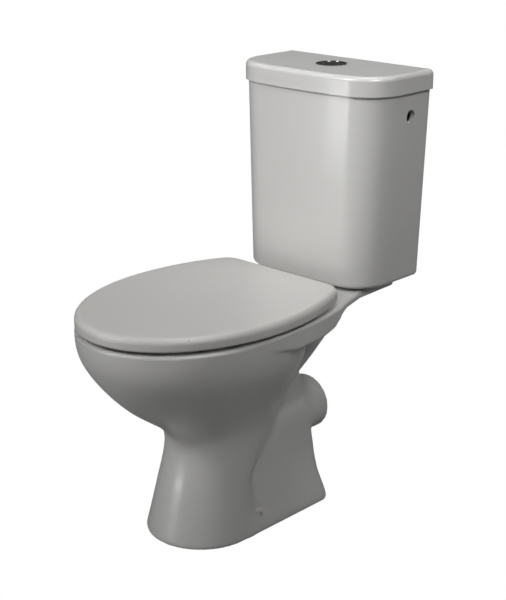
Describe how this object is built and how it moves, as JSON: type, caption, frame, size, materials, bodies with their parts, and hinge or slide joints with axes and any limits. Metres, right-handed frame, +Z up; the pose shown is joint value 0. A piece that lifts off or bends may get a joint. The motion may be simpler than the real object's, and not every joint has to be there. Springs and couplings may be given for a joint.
{
  "type": "close coupled toilet",
  "caption": "Close coupled toilet with a horizontal outlet, hinged seat and lid, lift-off cistern lid and dual push-button flush.",
  "frame": {"origin": "on the floor under the middle of the overall box", "axes": "+Z up; -Y is the front of the pan; +Y is the wall side; +X is the right side seen from the front"},
  "size_m": [0.36, 0.646, 0.784],
  "materials": {
    "vitreous_china": "white glazed vitreous china",
    "seat_plastic": "white gloss moulded plastic",
    "chrome": "polished chrome plate",
    "steel": "stainless and zinc-plated steel",
    "rubber": "black rubber",
    "white_plastic": "white moulded plastic",
    "grey_plastic": "grey moulded plastic"
  },
  "bodies": {
    "root": {"cistern": "vitreous_china", "coupling_bolts": "steel", "coupling_pads": "rubber", "coupling_seals": "rubber", "coupling_under_washers": "steel", "coupling_washers": "steel", "coupling_wing_nuts": "steel", "doughnut_seal": "rubber", "fill_tube": "white_plastic", "fill_valve_body": "white_plastic", "fill_valve_washer": "rubber", "float_pin": "steel", "flush_valve_backnut": "white_plastic", "flush_valve_base": "white_plastic", "flush_valve_washer": "rubber", "hinge_cone_washers": "rubber", "hinge_gaskets": "rubber", "hinge_pins": "steel", "hinge_post_left": "seat_plastic", "hinge_post_right": "seat_plastic", "hinge_studs": "steel", "hinge_wing_nuts": "white_plastic", "inlet_backnut": "white_plastic", "lever_pins": "steel", "pan": "vitreous_china", "valve_cage": "white_plastic"},
    "seat_ring": {"seat_ring": "seat_plastic", "seat_buffers": "rubber"},
    "seat_lid": {"seat_lid": "seat_plastic", "lid_buffers": "rubber"},
    "cistern_lid": {"cistern_lid": "vitreous_china", "button_bezel": "chrome", "button_lock_nut": "white_plastic", "full_flush_spring": "steel", "part_flush_spring": "steel"},
    "full_flush_button": {"full_flush_button": "chrome", "full_flush_rod": "grey_plastic"},
    "part_flush_button": {"part_flush_button": "chrome", "part_flush_rod": "grey_plastic"},
    "flush_rocker": {"flush_rocker": "grey_plastic"},
    "part_flush_latch": {"part_flush_latch": "grey_plastic"},
    "valve_stem": {"valve_stem": "grey_plastic", "valve_seal": "rubber"},
    "float_arm": {"float_arm": "white_plastic", "float_cup": "grey_plastic"}
  },
  "joints": [
    {"name": "seat_ring_hinge", "type": "hinge", "parent": "root", "child": "seat_ring", "pos_m": [0, 0.11, 0.413], "axis": [-1, 0, 0], "range_deg": [0, 93]},
    {"name": "seat_lid_hinge", "type": "hinge", "parent": "seat_ring", "child": "seat_lid", "pos_m": [0, 0.11, 0.413], "axis": [1, 0, 0], "range_deg": [-93, 0]},
    {"name": "cistern_lid_lift", "type": "slide", "parent": "root", "child": "cistern_lid", "axis": [0, 0, 1], "range_m": [0, 0.12]},
    {"name": "full_flush_press", "type": "slide", "parent": "cistern_lid", "child": "full_flush_button", "axis": [0, 0, -1], "range_m": [0, 0.01], "stiffness_N_per_m": 400, "springref_m": -0.003, "deforming": ["full_flush_spring"]},
    {"name": "part_flush_press", "type": "slide", "parent": "cistern_lid", "child": "part_flush_button", "axis": [0, 0, -1], "range_m": [0, 0.01], "stiffness_N_per_m": 400, "springref_m": -0.003, "deforming": ["part_flush_spring"]},
    {"name": "flush_rocker_turn", "type": "hinge", "parent": "root", "child": "flush_rocker", "pos_m": [0.02, 0.241, 0.69], "axis": [0, 1, 0], "range_deg": [0, 39]},
    {"name": "part_latch_turn", "type": "hinge", "parent": "root", "child": "part_flush_latch", "pos_m": [-0.02, 0.241, 0.69], "axis": [0, -1, 0], "range_deg": [0, 39]},
    {"name": "valve_stem_lift", "type": "slide", "parent": "root", "child": "valve_stem", "axis": [0, 0, 1], "range_m": [0, 0.0125]},
    {"name": "float_arm_turn", "type": "hinge", "parent": "root", "child": "float_arm", "pos_m": [-0.11, 0.252, 0.724], "axis": [-1, 0, 0], "range_deg": [0, 15]}
  ],
  "couplings": [
    {"joint": "flush_rocker_turn", "follows": "full_flush_press", "rad_per_m": 67.5},
    {"joint": "valve_stem_lift", "follows": "full_flush_press", "ratio": 1.25},
    {"joint": "part_latch_turn", "follows": "part_flush_press", "rad_per_m": 67.5}
  ]
}
